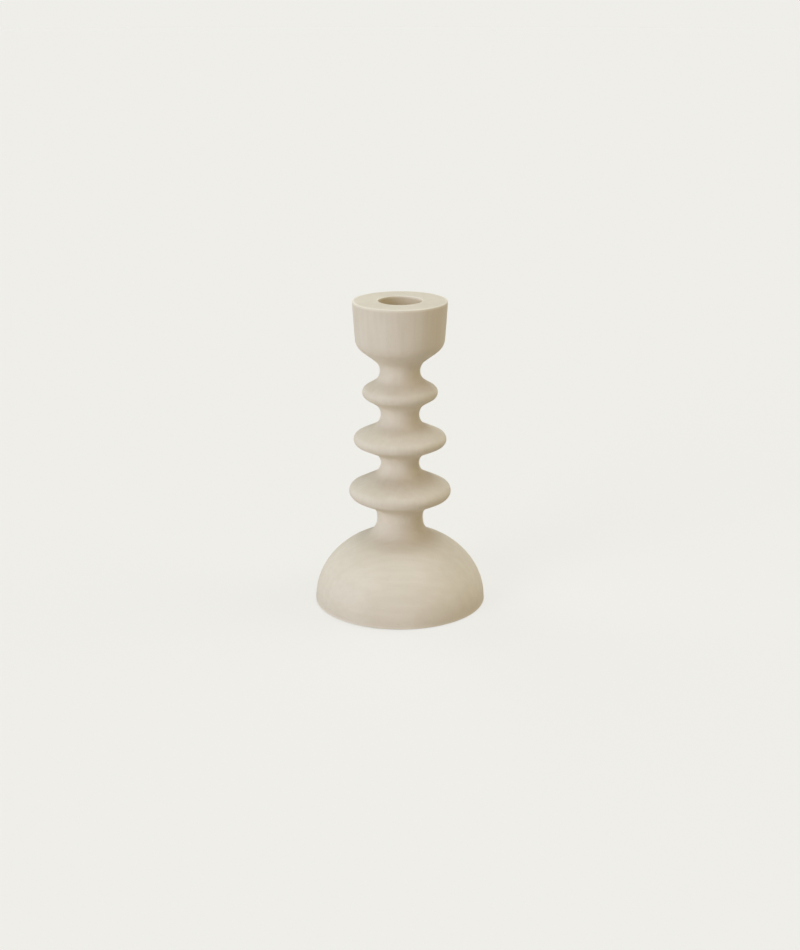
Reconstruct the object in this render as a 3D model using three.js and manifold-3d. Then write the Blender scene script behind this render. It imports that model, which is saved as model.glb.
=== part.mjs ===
// A turned wooden candlestick, painted all over: a domed base, a stem with three lens-shaped
// collars and a cup with a bored candle socket.
// The turned pieces join at their narrowest necks. A glued dowel holds the cup, and a spigot and
// a screw from underneath hold the base. A felt pad in the underside covers the screw.
// Millimetres, +Z up. The origin is on the table, on the axis that everything is turned about.

import * as THREE from "three";
import { mergeVertices } from "three/addons/utils/BufferGeometryUtils.js";
import Module from "manifold-3d";

const wasm = await Module();
wasm.setup();

// Overall
const TOTAL_HEIGHT = 160; // from the table to the rim
const BASE_RADIUS = 44.5; // at the dome's foot, the widest place

// Base
const DOME_RISE = 37.5; // upright half-axis of the dome's elliptical outline
const DOME_COVE_RADIUS = 10.5; // hollow curve from the dome up to the neck
const BASE_NECK_LAND = 0.6; // straight neck above that curve
const WEB_THICKNESS = 15; // wood between the spigot's hole and the screw's counterbore

// Stem
const FOOT_NECK_RADIUS = 11.9;
const FOOT_NECK_LENGTH = 4.8; // from the base up to where the lowest collar starts
const WAIST_RADIUS = 9.9; // the two necks between the collars
const HEAD_NECK_RADIUS = 10.3;
const HEAD_NECK_LENGTH = 3.5; // from the top collar's end up to the cup
const NECK_COVE_RADIUS = 7; // hollow curve at each end of a neck, less where a neck is short
const LOWER_COLLAR = { radius: 26.4, slope: 26.8, nose: 3.8 }; // slope is in degrees off level
const MIDDLE_COLLAR = { radius: 23.9, slope: 25.7, nose: 3.1 }; // nose is the rim's rounding
const UPPER_COLLAR = { radius: 19.3, slope: 32.2, nose: 3.3 };
const SPIGOT_RADIUS = 7;
const SPIGOT_LENGTH = 16;

// Cup
const CUP_HEIGHT = 36;
const CUP_RADIUS = 24.1; // at the rim
const CUP_FOOT_LENGTH = 3.4; // neck under the cup's slope
const CUP_SLOPE = 38; // degrees off level
const CUP_ROUND_RADIUS = 8; // where the slope turns up into the wall
const WALL_TAPER = 3.9; // degrees off upright, wider at the rim
const SOCKET_RADIUS = 11; // takes a 22 mm taper candle
const SOCKET_DEPTH = 22;
const SOCKET_FLOOR = 4; // wood between the socket and the dowel's hole

// Edges
const RIM_ARRIS = 0.6;
const SOCKET_ARRIS = 0.4;
const BASE_ARRIS = 0.5;

// Dowel
const DOWEL_RADIUS = 4;
const DOWEL_IN_STEM = 12;
const DOWEL_FLUTES = 16;
const FLUTE_DEPTH = 0.3;
const DOWEL_CHAMFER = 0.8;

// Screw and washer
const SCREW_LENGTH = 40; // under the head
const THREAD_LENGTH = 27;
const THREAD_RADIUS = 2.25;
const THREAD_PITCH = 2.2;
const THREAD_DEPTH = 0.6;
const POINT_LENGTH = 5;
const POINT_SHARE = 0.1; // of the thread's radius, left at the point's very end
const SHANK_RADIUS = 1.7;
const HEAD_RADIUS = 4.2;
const HEAD_HEIGHT = 2.8;
const HEAD_ROUND_RADIUS = 2.2;
const RECESS_SPAN = 4.6; // across the cross-shaped driver recess
const RECESS_WIDTH = 1.1;
const RECESS_DEPTH = 1.7;
const WASHER_RADIUS = 6;
const WASHER_THICKNESS = 1;

// Felt pad
const PAD_THICKNESS = 1.5;
const PAD_STANDOFF = 0.4; // how far it lifts the wood off the table
const PAD_INSET = 4.5; // from the base's edge to the pad's edge

// Fits
const GAP = 0.3; // glue lines and touching faces
const SCREW_CLEARANCE = 0.5; // around the screw and its washer where they pass freely
const DRILL_POINT = 31; // degrees off level, the cone that a twist drill leaves

// How finely round shapes are divided
const TURNING_SEGMENTS = 48;
const SMALL_SEGMENTS = 24;
const ARC_STEP = 18; // degrees
const THREAD_SEGMENTS = 12;
const ROWS_PER_THREAD = 4;

const PAINTED_WOOD = { color: 0xcdc4b2, roughness: 0.85, metalness: 0 };
const BEECH = { color: 0xd8b98d, roughness: 0.7, metalness: 0 };
const STEEL = { color: 0xb9bbbd, roughness: 0.35, metalness: 1 };
const FELT = { color: 0xa79d8c, roughness: 1, metalness: 0 };

const rad = THREE.MathUtils.degToRad;

// ---- Places that follow from the sizes, as heights above the table ----

const domeCurve = joinDomeToNeck();
const baseHeight = domeCurve.coveHeight + BASE_NECK_LAND;
const baseTop = PAD_STANDOFF + baseHeight;
const stemBottom = baseTop + GAP;
const cupBottom = TOTAL_HEIGHT - CUP_HEIGHT;
const stemLength = cupBottom - GAP - stemBottom;
const padRadius = BASE_RADIUS - PAD_INSET;
const padRecessDepth = PAD_THICKNESS - PAD_STANDOFF + GAP;
const screwHoleRadius = THREAD_RADIUS + SCREW_CLEARANCE;
const spigotHoleFloor = stemBottom - SPIGOT_LENGTH - GAP;
const screwSeat = spigotHoleFloor - WEB_THICKNESS;
const washerBottom = screwSeat - GAP - WASHER_THICKNESS;
const headSeat = washerBottom - GAP;
const dowelInCup = CUP_HEIGHT - SOCKET_DEPTH - SOCKET_FLOOR - GAP;

// ---- Outlines: [radius, height] points, with round stretches as arcs ----

/** Points of an arc about a centre, from one angle in radians through a signed turn. */
function arc(centreRadius, centreHeight, radius, from, turn) {
  const steps = Math.max(2, Math.ceil(Math.abs(turn) / rad(ARC_STEP)));
  return Array.from({ length: steps + 1 }, (_, i) => {
    const angle = from + (turn * i) / steps;
    return [centreRadius + radius * Math.cos(angle), centreHeight + radius * Math.sin(angle)];
  });
}

/** Rounds the corners of an outline. A corner is [radius, height, rounding]; without a rounding it
 * stays sharp. Two rounded corners share the length between them, which limits the rounding. */
function rounded(corners) {
  return corners.flatMap((corner, i) => {
    const [before, after] = [corners[i - 1], corners[i + 1]];
    if (!corner[2] || !before || !after) return [[corner[0], corner[1]]];
    const at = new THREE.Vector2(corner[0], corner[1]);
    const [back, ahead] = [before, after].map((c) => new THREE.Vector2(c[0], c[1]).sub(at));
    const room = Math.min(
      back.length() * (before[2] ? 0.5 : 1),
      ahead.length() * (after[2] ? 0.5 : 1),
    );
    back.normalize();
    ahead.normalize();
    const halfAngle = Math.acos(back.dot(ahead)) / 2;
    const radius = Math.min(corner[2], room * Math.tan(halfAngle));
    const centre = back
      .clone()
      .add(ahead)
      .setLength(radius / Math.sin(halfAngle))
      .add(at);
    const side = Math.sign(back.cross(ahead));
    const start = at.clone().addScaledVector(back, radius / Math.tan(halfAngle)).sub(centre);
    return arc(centre.x, centre.y, radius, start.angle(), side * (2 * halfAngle - Math.PI));
  });
}

/** Finds where the hollow curve leaves the dome's ellipse and how high it meets the neck. */
function joinDomeToNeck() {
  const normalAt = (angle) =>
    new THREE.Vector2(DOME_RISE * Math.cos(angle), BASE_RADIUS * Math.sin(angle)).normalize();
  const coveCentreRadius = (angle) =>
    BASE_RADIUS * Math.cos(angle) + DOME_COVE_RADIUS * normalAt(angle).x;
  let [low, high] = [0, Math.PI / 2];
  for (let i = 0; i < 40; i += 1) {
    const middle = (low + high) / 2;
    if (coveCentreRadius(middle) > FOOT_NECK_RADIUS + DOME_COVE_RADIUS) low = middle;
    else high = middle;
  }
  const normal = normalAt(low);
  const onDome = BASE_ARRIS + DOME_RISE * Math.sin(low);
  return { leaves: low, normal, coveHeight: onDome + DOME_COVE_RADIUS * normal.y };
}

/** The dome from its foot up to the neck, heights measured from the base's underside. */
function domeOutline() {
  const steps = Math.ceil(domeCurve.leaves / rad(ARC_STEP / 2));
  const dome = Array.from({ length: steps }, (_, i) => {
    const angle = (domeCurve.leaves * i) / steps;
    return [BASE_RADIUS * Math.cos(angle), BASE_ARRIS + DOME_RISE * Math.sin(angle)];
  });
  const start = domeCurve.normal.clone().negate().angle();
  const cove = arc(
    FOOT_NECK_RADIUS + DOME_COVE_RADIUS,
    domeCurve.coveHeight,
    DOME_COVE_RADIUS,
    start,
    Math.PI - start,
  );
  return [...dome, ...cove];
}

/** How far a collar's sloping side reaches above or below its middle, down to a neck's radius. */
function collarReach(collar, neckRadius) {
  return (collarPoint(collar) - neckRadius) * Math.tan(rad(collar.slope));
}

/** The radius where a collar's two sides would meet if its rim weren't rounded. */
function collarPoint({ radius, slope, nose }) {
  return radius - nose + nose / Math.sin(rad(slope));
}

/** Corners of the stem's outside, from its shoulder on the base up to the cup. */
function stemCorners() {
  const collars = [LOWER_COLLAR, MIDDLE_COLLAR, UPPER_COLLAR];
  const necks = [FOOT_NECK_RADIUS, WAIST_RADIUS, WAIST_RADIUS, HEAD_NECK_RADIUS];
  const taken = collars.reduce(
    (sum, c, i) => sum + collarReach(c, necks[i]) + collarReach(c, necks[i + 1]),
    FOOT_NECK_LENGTH + HEAD_NECK_LENGTH,
  );
  const waistLength = (stemLength - taken) / (collars.length - 1);
  let height = FOOT_NECK_LENGTH;
  return collars.flatMap((collar, i) => {
    const below = height;
    const middle = below + collarReach(collar, necks[i]);
    const above = middle + collarReach(collar, necks[i + 1]);
    height = above + waistLength;
    return [
      [necks[i], below, NECK_COVE_RADIUS],
      [collarPoint(collar), middle, collar.nose],
      [necks[i + 1], above, NECK_COVE_RADIUS],
    ];
  });
}

/** The corner where the cup's slope meets its tapering wall, above the cup's underside. */
function cupShoulder() {
  const slope = Math.tan(rad(CUP_SLOPE));
  const taper = Math.tan(rad(WALL_TAPER));
  const rise = CUP_RADIUS - HEAD_NECK_RADIUS - taper * (CUP_HEIGHT - CUP_FOOT_LENGTH);
  const radius = HEAD_NECK_RADIUS + rise / (1 - taper * slope);
  return [radius, CUP_FOOT_LENGTH + (radius - HEAD_NECK_RADIUS) * slope];
}

// ---- Solids ----

/** Turns an outline about the axis. It starts and ends on the axis, or is a closed ring. */
function lathe(outline, segments = TURNING_SEGMENTS) {
  const points = outline.map(([radius, height]) => new THREE.Vector2(radius, height));
  return new THREE.LatheGeometry(points, segments).rotateX(Math.PI / 2);
}

/** A ring's outline, with its first point repeated at the end. */
function closed(outline) {
  return [...outline, outline[0]];
}

function solid(geometry) {
  const bare = geometry.clone();
  bare.deleteAttribute("normal");
  bare.deleteAttribute("uv");
  const merged = mergeVertices(bare, 1e-4);
  const mesh = new wasm.Mesh({
    numProp: 3,
    vertProperties: merged.attributes.position.array,
    triVerts: new Uint32Array(merged.index.array),
  });
  return new wasm.Manifold(mesh);
}

function geometryOf(manifold) {
  const { vertProperties, triVerts } = manifold.getMesh();
  const geometry = new THREE.BufferGeometry();
  geometry.setAttribute("position", new THREE.BufferAttribute(vertProperties, 3));
  geometry.setIndex(new THREE.BufferAttribute(triVerts, 1));
  geometry.computeVertexNormals();
  return geometry;
}

/** The depth of the cone that a drill leaves under a hole. */
function drillCone(radius) {
  return radius * Math.tan(rad(DRILL_POINT));
}

function candleCup() {
  const holeRadius = DOWEL_RADIUS + GAP;
  const holeDepth = dowelInCup + GAP;
  return lathe(
    rounded([
      [0, holeDepth],
      [holeRadius, holeDepth],
      [holeRadius, 0],
      [HEAD_NECK_RADIUS, 0],
      [HEAD_NECK_RADIUS, CUP_FOOT_LENGTH, NECK_COVE_RADIUS],
      [...cupShoulder(), CUP_ROUND_RADIUS],
      [CUP_RADIUS, CUP_HEIGHT, RIM_ARRIS],
      [SOCKET_RADIUS, CUP_HEIGHT, SOCKET_ARRIS],
      [SOCKET_RADIUS, CUP_HEIGHT - SOCKET_DEPTH],
      [0, CUP_HEIGHT - SOCKET_DEPTH],
    ]),
  );
}

function stem() {
  const pilotRadius = THREAD_RADIUS + GAP;
  const pilotTop = headSeat + SCREW_LENGTH + SCREW_CLEARANCE - stemBottom;
  const holeRadius = DOWEL_RADIUS + GAP;
  const holeFloor = stemLength - DOWEL_IN_STEM - GAP;
  return lathe(
    rounded([
      [0, pilotTop + drillCone(pilotRadius)],
      [pilotRadius, pilotTop],
      [pilotRadius, -SPIGOT_LENGTH],
      [SPIGOT_RADIUS, -SPIGOT_LENGTH],
      [SPIGOT_RADIUS, 0],
      [FOOT_NECK_RADIUS, 0],
      ...stemCorners(),
      [HEAD_NECK_RADIUS, stemLength],
      [holeRadius, stemLength],
      [holeRadius, holeFloor],
      [0, holeFloor - drillCone(holeRadius)],
    ]),
  );
}

function base() {
  const recessRadius = padRadius + GAP;
  const counterboreRadius = WASHER_RADIUS + SCREW_CLEARANCE;
  const counterboreTop = screwSeat - PAD_STANDOFF;
  const spigotHoleRadius = SPIGOT_RADIUS + GAP;
  const spigotHoleBottom = spigotHoleFloor - PAD_STANDOFF;
  const foot = arc(BASE_RADIUS - BASE_ARRIS, BASE_ARRIS, BASE_ARRIS, -Math.PI / 2, Math.PI / 2);
  return lathe(
    closed([
      [screwHoleRadius, counterboreTop],
      [counterboreRadius, counterboreTop],
      [counterboreRadius, padRecessDepth],
      [recessRadius, padRecessDepth],
      [recessRadius, 0],
      ...foot.slice(0, -1),
      ...domeOutline(),
      [FOOT_NECK_RADIUS, baseHeight],
      [spigotHoleRadius, baseHeight],
      [spigotHoleRadius, spigotHoleBottom],
      [screwHoleRadius, spigotHoleBottom],
    ]),
  );
}

/** A fluted dowel: the flutes let glue and air out as it is driven in. */
function cupDowel() {
  const section = Array.from({ length: 2 * DOWEL_FLUTES }, (_, i) => {
    const radius = DOWEL_RADIUS - (i % 2 ? FLUTE_DEPTH : 0);
    const angle = (Math.PI * i) / DOWEL_FLUTES;
    return new THREE.Vector2(radius * Math.cos(angle), radius * Math.sin(angle));
  });
  const length = DOWEL_IN_STEM + GAP + dowelInCup;
  return new THREE.ExtrudeGeometry(new THREE.Shape(section), {
    depth: length - 2 * DOWEL_CHAMFER,
    bevelThickness: DOWEL_CHAMFER,
    bevelSize: DOWEL_CHAMFER,
    bevelOffset: -DOWEL_CHAMFER,
    bevelSegments: 1,
  }).translate(0, 0, DOWEL_CHAMFER);
}

/** The screw's thread, from the shank's end to the point: a rod whose radius follows a helix. */
function screwThread() {
  const rows = Math.round((THREAD_LENGTH / THREAD_PITCH) * ROWS_PER_THREAD);
  const rod = new THREE.CylinderGeometry(1, 1, THREAD_LENGTH, THREAD_SEGMENTS, rows);
  rod.rotateX(Math.PI / 2).translate(0, 0, SCREW_LENGTH - THREAD_LENGTH / 2);
  const position = rod.attributes.position;
  for (let i = 0; i < position.count; i += 1) {
    const [x, y, z] = [position.getX(i), position.getY(i), position.getZ(i)];
    const turns = z / THREAD_PITCH - Math.atan2(y, x) / (2 * Math.PI);
    const crest = 1 - Math.abs(2 * (turns - Math.floor(turns)) - 1);
    const taper = Math.min(1, (SCREW_LENGTH - z) / POINT_LENGTH + POINT_SHARE);
    const radius = (THREAD_RADIUS - THREAD_DEPTH + THREAD_DEPTH * crest) * taper;
    position.setXY(i, x * radius, y * radius);
  }
  return rod;
}

/** A pan-head wood screw with its point up. Its seat under the head is at height 0. */
function baseScrew() {
  const shankEnd = SCREW_LENGTH - THREAD_LENGTH + THREAD_PITCH / 2;
  const shaft = lathe(
    rounded([
      [0, -HEAD_HEIGHT],
      [HEAD_RADIUS, -HEAD_HEIGHT, HEAD_ROUND_RADIUS],
      [HEAD_RADIUS, 0],
      [SHANK_RADIUS, 0],
      [SHANK_RADIUS, shankEnd],
      [0, shankEnd],
    ]),
    SMALL_SEGMENTS,
  );
  const slot = new THREE.BoxGeometry(RECESS_SPAN, RECESS_WIDTH, 2 * RECESS_DEPTH);
  slot.translate(0, 0, -HEAD_HEIGHT);
  const crossSlot = slot.clone().rotateZ(Math.PI / 2);
  const cross = solid(slot).add(solid(crossSlot));
  return geometryOf(solid(shaft).add(solid(screwThread())).subtract(cross));
}

function screwWasher() {
  return lathe(
    closed([
      [screwHoleRadius, 0],
      [WASHER_RADIUS, 0],
      [WASHER_RADIUS, WASHER_THICKNESS],
      [screwHoleRadius, WASHER_THICKNESS],
    ]),
    SMALL_SEGMENTS,
  );
}

function feltPad() {
  return lathe([
    [0, 0],
    [padRadius, 0],
    [padRadius, PAD_THICKNESS],
    [0, PAD_THICKNESS],
  ]);
}

// ---- Assembly ----

function piece(name, geometry, finish, height) {
  const mesh = new THREE.Mesh(geometry, new THREE.MeshStandardMaterial(finish));
  mesh.name = name;
  mesh.position.z = height;
  return mesh;
}

const candlestick = new THREE.Group();
candlestick.name = "wooden_candlestick";
candlestick.add(
  piece("candle_cup", candleCup(), PAINTED_WOOD, cupBottom),
  piece("cup_dowel", cupDowel(), BEECH, cupBottom - GAP - DOWEL_IN_STEM),
  piece("turned_stem", stem(), PAINTED_WOOD, stemBottom),
  piece("domed_base", base(), PAINTED_WOOD, PAD_STANDOFF),
  piece("base_screw", baseScrew(), STEEL, headSeat),
  piece("screw_washer", screwWasher(), STEEL, washerBottom),
  piece("felt_pad", feltPad(), FELT, 0),
);

export default candlestick;
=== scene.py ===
"""A matt-painted, turned wooden candlestick on a plain pale floor, in soft studio light.

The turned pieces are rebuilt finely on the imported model's own outlines. Metres, +Z up.
"""

import math

import bpy
import numpy as np
from mathutils import Matrix, Vector


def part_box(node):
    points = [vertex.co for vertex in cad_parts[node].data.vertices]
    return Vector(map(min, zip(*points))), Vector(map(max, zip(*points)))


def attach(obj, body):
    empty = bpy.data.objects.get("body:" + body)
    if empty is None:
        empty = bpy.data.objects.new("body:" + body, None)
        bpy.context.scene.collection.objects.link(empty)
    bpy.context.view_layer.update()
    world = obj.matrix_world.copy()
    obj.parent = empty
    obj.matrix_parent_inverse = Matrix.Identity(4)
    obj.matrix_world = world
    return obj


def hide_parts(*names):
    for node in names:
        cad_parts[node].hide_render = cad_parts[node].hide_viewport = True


ROOT = "root"
TINY = 1e-6  # metres, and less than any gap

# How finely the turned pieces are made
SEGMENTS = 256  # round the axis
CORNER = math.radians(24)  # where an outline turns more than this at a point, it has a corner
TURN_STEP = math.radians(4.5)  # the most that a smooth stretch turns between two points
LONGEST_STEP = 0.001  # the most between two points

# Edges that hands and cloths rub, which the paint also makes lighter as a painted highlight
WEAR_AND_HIGHLIGHT_REACH = 0.0009  # how far along the outline from the edge
WEAR_AND_HIGHLIGHT_FROM = math.radians(18)  # turning this much within the reach isn't yet an edge
WEAR_AND_HIGHLIGHT_TURN = math.radians(40)  # turning this much is a fully worn and highlighted edge

# The candle socket, whose paint is made darker and yellower: painted shade in the hollow
SOCKET_FLOOR = 0.138
SOCKET_RADIUS = 0.011
SOCKET_EDGE = 0.0006  # how far the painted shade takes to fade

# The dowel
DOWEL_FLUTES = 16
FLUTE_DEPTH = 0.0003
FLUTE_SEGMENTS = 12  # round each flute
DOWEL_CHAMFER = 0.0008

# The screw
SCREW_SEGMENTS = 96  # round the axis
THREAD_LENGTH = 0.027
THREAD_PITCH = 0.0022
THREAD_RADIUS = 0.00225
THREAD_DEPTH = 0.0006
THREAD_FLANK = 0.2  # of the pitch, each side of the crest
THREAD_ROWS = 12  # to a pitch
THREAD_RUN_OUT = 0.0015  # where the thread fades into the shank
POINT_LENGTH = 0.005
SHANK_RADIUS = 0.0017
HEAD_RADIUS = 0.0042
HEAD_HEIGHT = 0.0028
HEAD_ROUND_RADIUS = 0.0022
HEAD_ROUND_POINTS = 13
RECESS_SPAN = 0.0046
RECESS_WIDTH = 0.0011
RECESS_DEPTH = 0.0017
RECESS_TAPER = 0.55  # width of the recess at its floor, as a share of that at its mouth

# How far the washer's and the felt's edges are eased
WASHER_EDGE = 0.00015
FELT_EDGE = 0.0003
EDGE_SEGMENTS = 3

# Camera
CAMERA_BACK = 0.7622
CAMERA_HEIGHT = 0.3163
CAMERA_PITCH = math.radians(18.036)  # below level
CAMERA_LENS_MM = 58.55

# Studio
STUDIO_RADIUS = 9.0
WALL_HEIGHT = 5.0
STUDIO_SEGMENTS = 128
UNDER_FLOOR = 0.0001  # how far the disc that lights the object lies under the floor that is seen
BLACK = (0, 0, 0)
PAPER = (0.863, 0.855, 0.815)  # as it should look
PAPER_LIT = (0.933, 0.898, 0.843)  # the floor's colour that looks so in this light
FLOOR_GLOW = 0.75  # the share of its brightness that the floor has in a shadow too
BOUNCE = (0.5, 0.44, 0.36)  # what the floor sends back up
PAPER_MOTTLE = 0.004  # how much deeper the paper is in places, as a share
# Each light: its name, azimuth, elevation and width in degrees, strength, and colour.
# Azimuth 0 is behind the camera, and 90 is on its left.
LIGHTS = (
    ("overhead", 0, 90, 50, 1.44, (0.86, 0.95, 1.0)),
    ("key", 45, 12, 36, 2.17, (0.8, 0.85, 1.0)),
    ("left_fill", 135, 30, 50, 0.71, (0.98, 1.0, 0.92)),
    ("right_fill", 250, 55, 50, 0.72, (0.8, 0.84, 1.0)),
    ("warm_fill", 270, 25, 50, 0.53, (1.0, 0.86, 0.46)),
    ("front_fill", 340, 40, 60, 0.4, (1.0, 0.75, 0.46)),
)

# How strongly some marks show, from 0 to 1
PORE_TINT = 0.35
FLECK_TINT = 0.5
BRUSH_SLOWNESS = 0.03  # how fast brush marks change round the axis, against across them

# Roughness, at its least and its most
PAINT_ROUGHNESS = (0.66, 0.8)
FELT_ROUGHNESS = (0.9, 1)
BEECH_ROUGHNESS = (0.5, 0.7)
ZINC_ROUGHNESS = (0.22, 0.45)
RUBBED_GLOSS = 0.25  # how much less it is on a fully worn edge

# Colours, linear
PAINT_LIGHT = (0.758, 0.683, 0.551)
PAINT_DEEP = (0.71, 0.63, 0.494)
# Lighter paint on sharp edges: part wear, part painted highlight
PAINT_WORN_AND_HIGHLIGHT = (0.85, 0.775, 0.635)
PAINT_IN_PORES = (0.62, 0.53, 0.4)
# Painted shade: the paint inside the candle socket
PAINTED_SOCKET_SHADE = (0.705, 0.61, 0.44)
FELT_DARK = (0.24, 0.215, 0.17)
FELT_LIGHT = (0.44, 0.4, 0.33)
BEECH_LIGHT = (0.62, 0.42, 0.25)
BEECH_DARK = (0.47, 0.29, 0.155)
ZINC_LIGHT = (0.62, 0.64, 0.67)
ZINC_DARK = (0.42, 0.44, 0.47)

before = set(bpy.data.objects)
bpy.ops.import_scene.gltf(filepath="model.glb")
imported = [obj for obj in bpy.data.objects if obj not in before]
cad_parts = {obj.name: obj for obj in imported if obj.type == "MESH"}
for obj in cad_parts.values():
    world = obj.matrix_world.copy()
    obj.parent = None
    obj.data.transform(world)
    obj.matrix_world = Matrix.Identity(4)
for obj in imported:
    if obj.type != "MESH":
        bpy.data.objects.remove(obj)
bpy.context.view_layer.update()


# ---- Outlines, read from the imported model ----


def turned_outline(cad_node):
    """A turned node's outline as ordered (radius, height) points, and whether it is a closed ring.

    It is read from the node's edges in the half-plane y = 0, x > 0. Unless closed, it runs from axis
    to axis.
    """
    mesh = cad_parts[cad_node].data
    places = [tuple(round(c, 7) for c in v.co) for v in mesh.vertices]
    near = {}
    for edge in mesh.edges:
        ends = [places[i] for i in edge.vertices]
        if ends[0] != ends[1] and all(abs(y) < TINY and x > -TINY for x, y, _ in ends):
            a, b = [(x, z) for x, _, z in ends]
            near.setdefault(a, set()).add(b)
            near.setdefault(b, set()).add(a)
    loose = [point for point, others in near.items() if len(others) == 1]
    outline = [min(loose or near)]
    while ahead := near[outline[-1]] - set(outline):
        outline.append(min(ahead))
    return np.array(outline), not loose


def unit(v):
    return v / np.linalg.norm(v)


def angle_between(a, b):
    return math.acos(np.clip(unit(a) @ unit(b), -1, 1))


def smooth_outline(points, closed):
    """Adds points on smooth curves through an outline's own points, and keeps its corners sharp."""
    steps = np.roll(points, -1, axis=0) - points
    ends = set() if closed else {0, len(points) - 1}
    tangents = []
    for i, step in enumerate(steps):
        corner = i in ends or angle_between(steps[i - 1], step) > CORNER
        tangents.append(None if corner else unit(steps[i - 1] + step))
    fine = []
    for i, chord in enumerate(steps if closed else steps[:-1]):
        j = (i + 1) % len(points)
        along = unit(chord)
        start, end = tangents[i], tangents[j]
        # An arc's chord lies midway between its end directions, which gives the one at a corner.
        if start is None:
            start = along if end is None else unit(2 * (along @ end) * along - end)
        if end is None:
            end = unit(2 * (along @ start) * along - start)
        length = np.linalg.norm(chord)
        parts = math.ceil(max(angle_between(start, end) / TURN_STEP, length / LONGEST_STEP))
        # A cubic that leaves and arrives in those directions: a place on the chord, and a bow off it.
        for t in np.arange(parts) / parts:
            on_chord = points[i] + chord * t * t * (3 - 2 * t)
            bow = length * t * (1 - t) * (start * (1 - t) - end * t)
            fine.append(on_chord + bow)
    return np.array(fine if closed else [*fine, points[-1]])


def edge_wear_and_highlight(outline, closed, joints):
    """How worn each outline point is and how much painted highlight it has, 0 to 1: both go where the
    outline turns outwards sharply.

    Joints are heights where a neighbour meets the piece, so there is no edge there.
    """
    ahead = np.roll(outline, -1, axis=0)
    steps = ahead - outline
    before = np.roll(steps, 1, axis=0)
    cross = before[:, 0] * steps[:, 1] - before[:, 1] * steps[:, 0]
    turn = np.arctan2(cross, (before * steps).sum(axis=1))
    area = (outline[:, 0] * ahead[:, 1] - ahead[:, 0] * outline[:, 1]).sum()
    turn = np.maximum(turn * np.sign(area), 0)
    if not closed:
        turn[[0, -1]] = 0
    for height in joints:
        turn[np.abs(outline[:, 1] - height) < TINY] = 0
    travelled = np.concatenate([[0], np.cumsum(np.linalg.norm(steps, axis=1))])
    apart = np.abs(travelled[:-1, None] - travelled[None, :-1])
    if closed:
        apart = np.minimum(apart, travelled[-1] - apart)
    reach = np.maximum(1 - apart / WEAR_AND_HIGHLIGHT_REACH, 0)
    return np.clip((reach @ turn - WEAR_AND_HIGHLIGHT_FROM) / (WEAR_AND_HIGHLIGHT_TURN - WEAR_AND_HIGHLIGHT_FROM), 0, 1)


# ---- Meshes ----


def ring_mesh(name, rings, closed=False):
    """Joins rings of points with faces. A ring is one point on the axis, or as many as the others."""
    segments = max(len(points) for points in rings)
    vertices, numbered = [], []
    for points in rings:
        first = len(vertices)
        vertices += points
        numbered.append([first + k if len(points) > 1 else first for k in range(segments)])
    pairs = list(zip(numbered, numbered[1:]))
    if closed:
        pairs.append((numbered[-1], numbered[0]))
    faces = []
    for low, high in pairs:
        for k in range(segments):
            n = (k + 1) % segments
            corners = dict.fromkeys((low[k], low[n], high[n], high[k]))
            if len(corners) > 2:
                faces.append(tuple(corners))
    mesh = bpy.data.meshes.new(name)
    mesh.from_pydata(vertices, [], faces)
    return mesh


def ring(height, radius_at, segments):
    """Points round the Z axis, at the radius that radius_at gives for each angle."""
    angles = [2 * math.pi * k / segments for k in range(segments)]
    return [(radius_at(a) * math.cos(a), radius_at(a) * math.sin(a), height) for a in angles]


def lathe_mesh(name, outline, closed, segments):
    """Turns an outline about the Z axis."""
    rings = [
        [(0, 0, height)] if radius < TINY else ring(height, lambda _: radius, segments)
        for radius, height in outline
    ]
    return ring_mesh(name, rings, closed)


def face_outwards(mesh):
    """Flips a closed mesh that is inside out."""
    mesh.calc_loop_triangles()
    volume = 0
    for triangle in mesh.loop_triangles:
        a, b, c = (mesh.vertices[i].co for i in triangle.vertices)
        volume += a.dot(b.cross(c))
    if volume < 0:
        mesh.flip_normals()


def add_piece(mesh, cad_node, material):
    """Finishes a closed mesh and shows it in a CAD node's place."""
    face_outwards(mesh)
    mesh.shade_smooth()
    mesh.set_sharp_from_angle(angle=CORNER)
    mesh.materials.append(material)
    piece = bpy.data.objects.new(mesh.name, mesh)
    bpy.context.collection.objects.link(piece)
    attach(piece, ROOT)
    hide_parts(cad_node)
    return piece


def add_turned_piece(name, cad_node, material, joints=()):
    """Adds the fine version of a turned node.

    Joints has a pair for each glue line that the paint runs over: the height of the node's own face,
    and the height of its neighbour's, which the piece goes on to.
    """
    points, closed = turned_outline(cad_node)
    for own, neighbour in joints:
        points[np.abs(points[:, 1] - own) < TINY, 1] = neighbour
    outline = smooth_outline(points, closed)
    mesh = lathe_mesh(name, outline, closed, SEGMENTS)
    worn_and_highlighted = edge_wear_and_highlight(outline, closed, [neighbour for _, neighbour in joints])
    amounts = []
    for (radius, _), amount in zip(outline, worn_and_highlighted):
        amounts += [amount] * (1 if radius < TINY else SEGMENTS)
    wear_and_highlight = mesh.attributes.new("wear_and_highlight", "FLOAT", "POINT")
    wear_and_highlight.data.foreach_set("value", amounts)
    return add_piece(mesh, cad_node, material)


def ease_edges(piece, width):
    """Rounds a piece's sharp edges a little."""
    bevel = piece.modifiers.new("eased_edges", "BEVEL")
    bevel.width = width
    bevel.segments = EDGE_SEGMENTS
    bevel.limit_method = "ANGLE"


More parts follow.
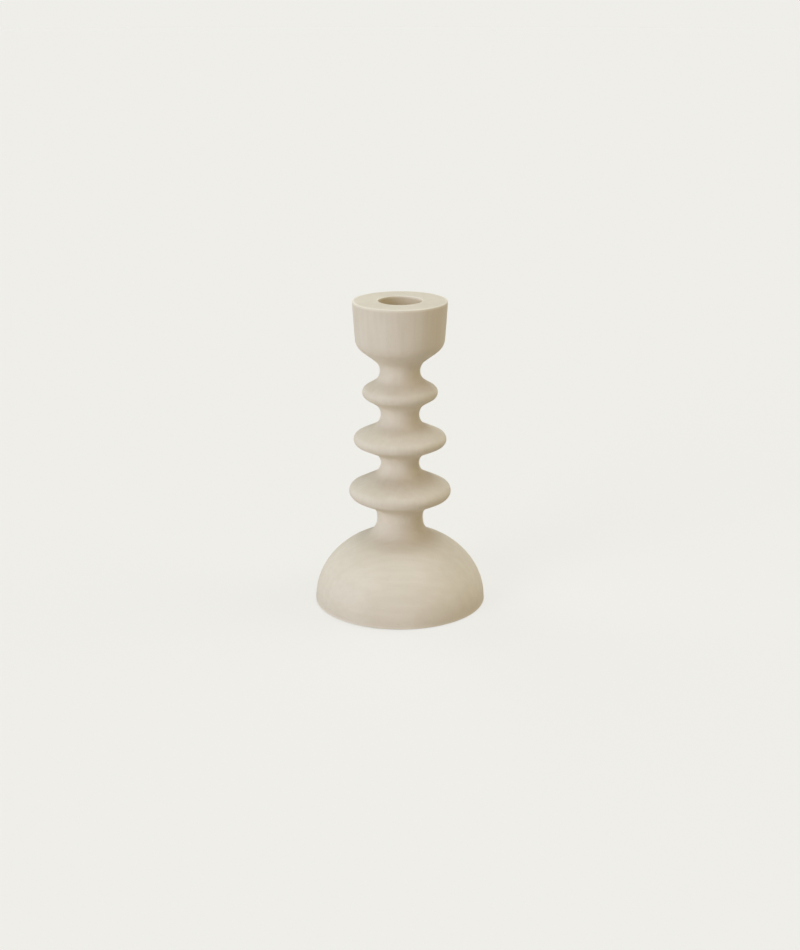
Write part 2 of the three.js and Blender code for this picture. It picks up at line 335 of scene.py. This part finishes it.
def cut_out(mesh, tool):
    """Cuts a closed mesh, the tool, out of another, and gives the result the first one's name."""
    body = bpy.data.objects.new("body", mesh)
    cutter = bpy.data.objects.new("cutter", tool)
    for made in (body, cutter):
        bpy.context.collection.objects.link(made)
    cut = body.modifiers.new("cut", "BOOLEAN")
    cut.operation = "DIFFERENCE"
    cut.object = cutter
    graph = bpy.context.evaluated_depsgraph_get()
    result = bpy.data.meshes.new_from_object(body.evaluated_get(graph))
    bpy.data.objects.remove(body)
    bpy.data.objects.remove(cutter)
    name = mesh.name
    bpy.data.meshes.remove(mesh)
    result.name = name
    return result


# ---- Shader nodes ----


def new_material(name):
    """A new material, its node tree and its Principled shader."""
    material = bpy.data.materials.new(name)
    material.use_nodes = True
    tree = material.node_tree
    return material, tree, tree.nodes["Principled BSDF"]


def connect(tree, socket, value):
    """Links an output to a socket, or sets the socket to a value."""
    if isinstance(value, bpy.types.NodeSocket):
        tree.links.new(value, socket)
    else:
        socket.default_value = value


def node(tree, kind, inputs, **settings):
    """Adds a shader node with its inputs linked or set."""
    made = tree.nodes.new("ShaderNode" + kind)
    for key, value in settings.items():
        setattr(made, key, value)
    for key, value in inputs.items():
        connect(tree, made.inputs[key], value)
    return made


def object_place(tree):
    return node(tree, "TexCoord", {}).outputs["Object"]


def noise(tree, place, size, stretch=(1, 1, 1), detail=3, roughness=0.5, distortion=0):
    """Noise around 0.5 with features of that size in metres, drawn out by stretch along X, Y and Z."""
    scale = [1 / (size * s) for s in stretch]
    scaled = node(tree, "Mapping", {"Vector": place, "Scale": scale}).outputs["Vector"]
    inputs = {"Vector": scaled, "Scale": 1, "Detail": detail, "Roughness": roughness}
    return node(tree, "TexNoise", {**inputs, "Distortion": distortion}).outputs["Fac"]


def remap(tree, value, low, high, to_low=0, to_high=1):
    """Takes low to high onto to_low to to_high, and holds it there outside them."""
    inputs = {"Value": value, "From Min": low, "From Max": high, "To Min": to_low, "To Max": to_high}
    return node(tree, "MapRange", inputs).outputs["Result"]


def arithmetic(tree, operation, a, b):
    return node(tree, "Math", {0: a, 1: b}, operation=operation).outputs[0]


def mix(tree, factor, low, high):
    """The colour low where factor is 0 and high where it is 1."""
    made = node(tree, "Mix", {0: factor}, data_type="RGBA")
    ends = [socket for socket in made.inputs if socket.type == "RGBA"]
    for socket, colour in zip(ends, (low, high)):
        connect(tree, socket, colour if isinstance(colour, bpy.types.NodeSocket) else (*colour, 1))
    return made.outputs["Result"]


def add_bumps(tree, shader, *layers):
    """Gives a shader bumps, one on the other. Each layer is a height from 0 to 1 and its depth."""
    normal = None
    for height, depth in layers:
        inputs = {"Height": height, "Distance": depth}
        if normal:
            inputs["Normal"] = normal
        normal = node(tree, "Bump", inputs).outputs["Normal"]
    connect(tree, shader.inputs["Normal"], normal)


def drawn_out(axis, amount):
    """A stretch along one axis."""
    return [amount if name == axis else 1 for name in "XYZ"]


# ---- Materials ----


def from_axis(tree, place):
    """Distance from the turning axis."""
    across = node(tree, "VectorMath", {0: place, 1: (1, 1, 0)}, operation="MULTIPLY").outputs[0]
    return node(tree, "VectorMath", {0: across}, operation="LENGTH").outputs["Value"]


def brush_place(tree, place):
    """Coordinates that change fast along the turned outline and slowly round the axis."""
    split = node(tree, "SeparateXYZ", {"Vector": place}).outputs
    slow = arithmetic(tree, "MULTIPLY", split["X"], BRUSH_SLOWNESS)
    inputs = {"X": from_axis(tree, place), "Y": split["Z"], "Z": slow}
    return node(tree, "CombineXYZ", inputs).outputs["Vector"]


def socket_shade_mask(tree, place):
    """Where the socket's painted shade goes: 1 on the candle socket's wall and floor, fading to 0 just
    past its mouth.
    """
    height = node(tree, "SeparateXYZ", {"Vector": place}).outputs["Z"]
    above = remap(tree, height, SOCKET_FLOOR - SOCKET_EDGE, SOCKET_FLOOR)
    beyond = remap(tree, from_axis(tree, place), SOCKET_RADIUS, SOCKET_RADIUS + SOCKET_EDGE)
    return arithmetic(tree, "MULTIPLY", above, arithmetic(tree, "SUBTRACT", 1, beyond))


def painted_wood(name, grain):
    """Matt chalk paint, brushed on round the turning.

    Grain is the axis that the wood's fibres run along. They show through as soft streaks, fine lines
    and half-filled pores. Sharp edges are rubbed smoother and painted lighter, part wear and part painted
    highlight, and the socket's paint is darker and yellower as painted shade.
    """
    material, tree, shader = new_material(name)
    place = object_place(tree)
    clouds = noise(tree, place, size=0.022)
    streaks = noise(tree, place, size=0.0028, stretch=drawn_out(grain, 18), detail=4)
    fibres = noise(tree, place, size=0.0004, stretch=drawn_out(grain, 30), detail=2)
    pore_noise = noise(tree, place, size=0.00045, stretch=drawn_out(grain, 9), detail=1)
    pores = remap(tree, pore_noise, 0.69, 0.76)
    brushing = noise(tree, brush_place(tree, place), size=0.0006, detail=3)
    grit = noise(tree, place, size=0.00016, detail=1)

    tone = arithmetic(tree, "ADD", clouds, streaks)  # around 1, as each is around 0.5
    colour = mix(tree, remap(tree, tone, 0.75, 1.25), PAINT_DEEP, PAINT_LIGHT)
    # Painted shade: the paint is darker and yellower inside the candle socket.
    colour = mix(tree, socket_shade_mask(tree, place), colour, PAINTED_SOCKET_SHADE)
    colour = mix(tree, arithmetic(tree, "MULTIPLY", pores, PORE_TINT), colour, PAINT_IN_PORES)
    wear_and_highlight = node(tree, "Attribute", {}, attribute_name="wear_and_highlight").outputs["Fac"]
    patchy_wear_and_highlight = arithmetic(tree, "MULTIPLY", wear_and_highlight, remap(tree, clouds, 0.3, 0.6, 0.35, 1))
    # Sharp edges made lighter: part wear, part painted highlight on the collar noses and the rim
    colour = mix(tree, patchy_wear_and_highlight, colour, PAINT_WORN_AND_HIGHLIGHT)
    connect(tree, shader.inputs["Base Color"], colour)

    matt = remap(tree, streaks, 0.3, 0.7, *PAINT_ROUGHNESS)
    rubbed = arithmetic(tree, "MULTIPLY", patchy_wear_and_highlight, RUBBED_GLOSS)
    connect(tree, shader.inputs["Roughness"], arithmetic(tree, "SUBTRACT", matt, rubbed))
    shader.inputs["Specular IOR Level"].default_value = 0.4
    sunk = arithmetic(tree, "SUBTRACT", 1, pores)
    add_bumps(
        tree, shader, (fibres, 0.00002), (brushing, 0.00003), (grit, 0.00001), (sunk, 0.00004)
    )
    return material


def felt():
    """Pressed wool felt: a tangle of light and dark fibres with a soft sheen."""
    material, tree, shader = new_material("wool_felt")
    place = object_place(tree)
    tangle = noise(tree, place, size=0.0007, detail=6, roughness=0.7, distortion=2)
    tufts = noise(tree, place, size=0.005)
    colour = mix(tree, remap(tree, tangle, 0.3, 0.7), FELT_DARK, FELT_LIGHT)
    connect(tree, shader.inputs["Base Color"], colour)
    connect(tree, shader.inputs["Roughness"], remap(tree, tufts, 0.3, 0.7, *FELT_ROUGHNESS))
    shader.inputs["Sheen Weight"].default_value = 0.35
    shader.inputs["Sheen Roughness"].default_value = 0.5
    add_bumps(tree, shader, (tufts, 0.0004), (tangle, 0.0003))
    return material


def beech():
    """Bare machined beech, its grain along Z, with the short dark flecks of its rays."""
    material, tree, shader = new_material("bare_beech")
    place = object_place(tree)
    rings = noise(tree, place, size=0.0012, stretch=drawn_out("Z", 25), detail=4, distortion=0.4)
    fleck_noise = noise(tree, place, size=0.00035, stretch=drawn_out("Z", 5), detail=1)
    flecks = remap(tree, fleck_noise, 0.66, 0.72)
    colour = mix(tree, remap(tree, rings, 0.3, 0.7), BEECH_LIGHT, BEECH_DARK)
    colour = mix(tree, arithmetic(tree, "MULTIPLY", flecks, FLECK_TINT), colour, BEECH_DARK)
    connect(tree, shader.inputs["Base Color"], colour)
    connect(tree, shader.inputs["Roughness"], remap(tree, rings, 0.3, 0.7, *BEECH_ROUGHNESS))
    fibres = noise(tree, place, size=0.00025, stretch=drawn_out("Z", 20), detail=2)
    add_bumps(tree, shader, (fibres, 0.00004), (arithmetic(tree, "SUBTRACT", 1, flecks), 0.00003))
    return material


def zinc_steel():
    """Zinc-plated steel: bright, finely brushed round the axis, and dulled in patches."""
    material, tree, shader = new_material("zinc_plated_steel")
    place = object_place(tree)
    dulling = noise(tree, place, size=0.0025, detail=4)
    scratches = noise(tree, brush_place(tree, place), size=0.00012, detail=2)
    colour = mix(tree, remap(tree, dulling, 0.35, 0.65), ZINC_LIGHT, ZINC_DARK)
    connect(tree, shader.inputs["Base Color"], colour)
    shader.inputs["Metallic"].default_value = 1
    connect(tree, shader.inputs["Roughness"], remap(tree, dulling, 0.3, 0.7, *ZINC_ROUGHNESS))
    add_bumps(tree, shader, (scratches, 0.000004), (dulling, 0.00002))
    return material


def paper(name, lit, glow):
    """Pale matt paper with a faint mottle: lit is its own colour, and glow is what it gives off."""
    material, tree, shader = new_material(name)
    mottle = noise(tree, object_place(tree), size=0.02)
    deeper = [c * (1 - PAPER_MOTTLE) for c in lit]
    connect(tree, shader.inputs["Base Color"], mix(tree, mottle, deeper, lit))
    shader.inputs["Roughness"].default_value = 1
    shader.inputs["Specular IOR Level"].default_value = 0
    shader.inputs["Emission Color"].default_value = (*glow, 1)
    shader.inputs["Emission Strength"].default_value = 1
    return material


# ---- Studio ----


def add_stage(name, outline, material):
    """Adds a turned surface that isn't part of the object."""
    mesh = lathe_mesh(name, outline, False, STUDIO_SEGMENTS)
    mesh.materials.append(material)
    stage = bpy.data.objects.new(name, mesh)
    bpy.context.collection.objects.link(stage)
    return stage


def add_studio():
    """A pale floor out to a wall of the same brightness all round.

    The floor that is seen and the one that lights the object from below are two discs, so that each
    has its own brightness. The seen floor and the wall only show to the camera and in reflections.
    """
    lit = [c * (1 - FLOOR_GLOW) for c in PAPER_LIT]
    glow = [c * FLOOR_GLOW for c in PAPER]
    disc = [(0, 0), (STUDIO_RADIUS, 0)]
    below = [(radius, -UNDER_FLOOR) for radius, _ in disc]
    edge = [(STUDIO_RADIUS, 0), (STUDIO_RADIUS, WALL_HEIGHT)]
    seen = add_stage("studio_floor", disc, paper("floor_paper", lit, glow))
    wall = add_stage("studio_wall", edge, paper("wall_paper", BLACK, PAPER))
    bounce = add_stage("studio_bounce", below, paper("bounce_paper", BOUNCE, BLACK))
    for stage in (seen, wall):
        stage.visible_diffuse = False
        stage.visible_shadow = False
    bounce.visible_camera = False


def add_light(name, azimuth, elevation, width, strength, colour):
    """A soft light, far away, that spans width degrees of the sky."""
    light = bpy.data.lights.new(name, "SUN")
    light.angle = math.radians(width)
    light.energy = strength
    light.color = colour
    lamp = bpy.data.objects.new(name, light)
    bpy.context.collection.objects.link(lamp)
    around, up = math.radians(azimuth), math.radians(elevation)
    back = Vector((-math.sin(around), -math.cos(around), 0)) * math.cos(up)
    towards = back + Vector((0, 0, math.sin(up)))
    lamp.rotation_euler = towards.to_track_quat("Z", "Y").to_euler()


def add_camera():
    """The camera at the photograph's viewing angle, straight in front of the object."""
    data = bpy.data.cameras.new("camera")
    data.lens = CAMERA_LENS_MM
    camera = bpy.data.objects.new("camera", data)
    bpy.context.collection.objects.link(camera)
    camera.location = (0, -CAMERA_BACK, CAMERA_HEIGHT)
    camera.rotation_euler = (math.pi / 2 - CAMERA_PITCH, 0, 0)
    bpy.context.scene.camera = camera


# ---- Hidden pieces ----


def dowel_mesh():
    """A straight dowel with rounded flutes for the glue, and chamfered ends."""
    low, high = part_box("cup_dowel")
    bottom, top, radius = low.z, high.z, high.x
    segments = DOWEL_FLUTES * FLUTE_SEGMENTS

    def fluted(angle, inset=0):
        flute = max(0, -math.cos(DOWEL_FLUTES * angle)) ** 2
        return radius - max(inset, FLUTE_DEPTH * flute)

    def tip(height):
        return ring(height, lambda angle: fluted(angle, DOWEL_CHAMFER), segments)

    rings = [
        [(0, 0, bottom)],
        tip(bottom),
        ring(bottom + DOWEL_CHAMFER, fluted, segments),
        ring(top - DOWEL_CHAMFER, fluted, segments),
        tip(top),
        [(0, 0, top)],
    ]
    return ring_mesh("fluted_dowel", rings)


def thread_radius(angle, height, start, end):
    """The screw's radius in its threaded stretch: a helical ridge round a core that ends in a point."""
    turns = (height - start) / THREAD_PITCH - angle / (2 * math.pi)
    from_crest = abs(turns - round(turns))
    ridge = max(0, 1 - from_crest / THREAD_FLANK) * min(1, (height - start) / THREAD_RUN_OUT)
    core = THREAD_RADIUS - THREAD_DEPTH
    to_point = min(1, (end - height) / POINT_LENGTH)
    return (core + THREAD_DEPTH * ridge) * math.sqrt(to_point)


def recess_mesh(bottom):
    """The solid that is cut out of the screw's head: a cross whose sides lean in."""

    def cross(height, share):
        arm, half = RECESS_SPAN / 2 * share, RECESS_WIDTH / 2 * share
        quarter = ((arm, -half), (arm, half), (half, half))
        turned = (Matrix.Rotation(math.pi / 2 * k, 2) @ Vector(c) for k in range(4) for c in quarter)
        return [(x, y, height) for x, y in turned]

    mouth = bottom - RECESS_DEPTH
    floor = bottom + RECESS_DEPTH
    lean = 2 - RECESS_TAPER
    rings = [[(0, 0, mouth)], cross(mouth, lean), cross(floor, RECESS_TAPER), [(0, 0, floor)]]
    return ring_mesh("recess", rings)


def screw_mesh():
    """A pan-head wood screw, its head down, with a cross recess."""
    low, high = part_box("base_screw")
    bottom, top = low.z, high.z
    seat = bottom + HEAD_HEIGHT
    flat = HEAD_RADIUS - HEAD_ROUND_RADIUS
    rounding = [
        (flat + HEAD_ROUND_RADIUS * math.sin(a), bottom + HEAD_ROUND_RADIUS * (1 - math.cos(a)))
        for a in np.linspace(0, math.pi / 2, HEAD_ROUND_POINTS)
    ]
    threaded = top - THREAD_LENGTH
    outline = [*rounding, (HEAD_RADIUS, seat), (SHANK_RADIUS, seat), (SHANK_RADIUS, threaded)]
    rings = [[(0, 0, bottom)]]
    rings += [ring(height, lambda _: radius, SCREW_SEGMENTS) for radius, height in outline]
    rows = round(THREAD_LENGTH / THREAD_PITCH * THREAD_ROWS)
    for row in range(1, rows):
        height = threaded + THREAD_LENGTH * row / rows
        rings.append(ring(height, lambda a: thread_radius(a, height, threaded, top), SCREW_SEGMENTS))
    rings.append([(0, 0, top)])
    screw = ring_mesh("wood_screw", rings)
    tool = recess_mesh(bottom)
    face_outwards(screw)
    face_outwards(tool)
    return cut_out(screw, tool)


# ---- The candlestick ----


def add_candlestick():
    """Adds the seven pieces. The cup's and the stem's grain is upright, and the base's is level."""
    upright = painted_wood("painted_wood_upright", "Z")
    level = painted_wood("painted_wood_level", "X")
    stem_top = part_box("turned_stem")[1].z
    cup_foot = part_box("candle_cup")[0].z
    base_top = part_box("domed_base")[1].z
    # All glue lines are as thick, so the stem's shoulder is as far over the base as the cup over the stem.
    shoulder = base_top + cup_foot - stem_top
    stem_joints = ((stem_top, cup_foot), (shoulder, base_top))
    add_turned_piece("painted_cup", "candle_cup", upright, ((cup_foot, cup_foot),))
    add_turned_piece("painted_stem", "turned_stem", upright, stem_joints)
    add_turned_piece("painted_base", "domed_base", level, ((base_top, base_top),))
    ease_edges(add_turned_piece("felt_disc", "felt_pad", felt()), FELT_EDGE)
    steel = zinc_steel()
    washer = add_turned_piece("steel_washer", "screw_washer", steel)
    ease_edges(washer, WASHER_EDGE)
    add_piece(screw_mesh(), "base_screw", steel)
    add_piece(dowel_mesh(), "cup_dowel", beech())


add_camera()
for light_row in LIGHTS:
    add_light(*light_row)
add_studio()
add_candlestick()
bpy.context.scene.view_settings.view_transform = "Standard"
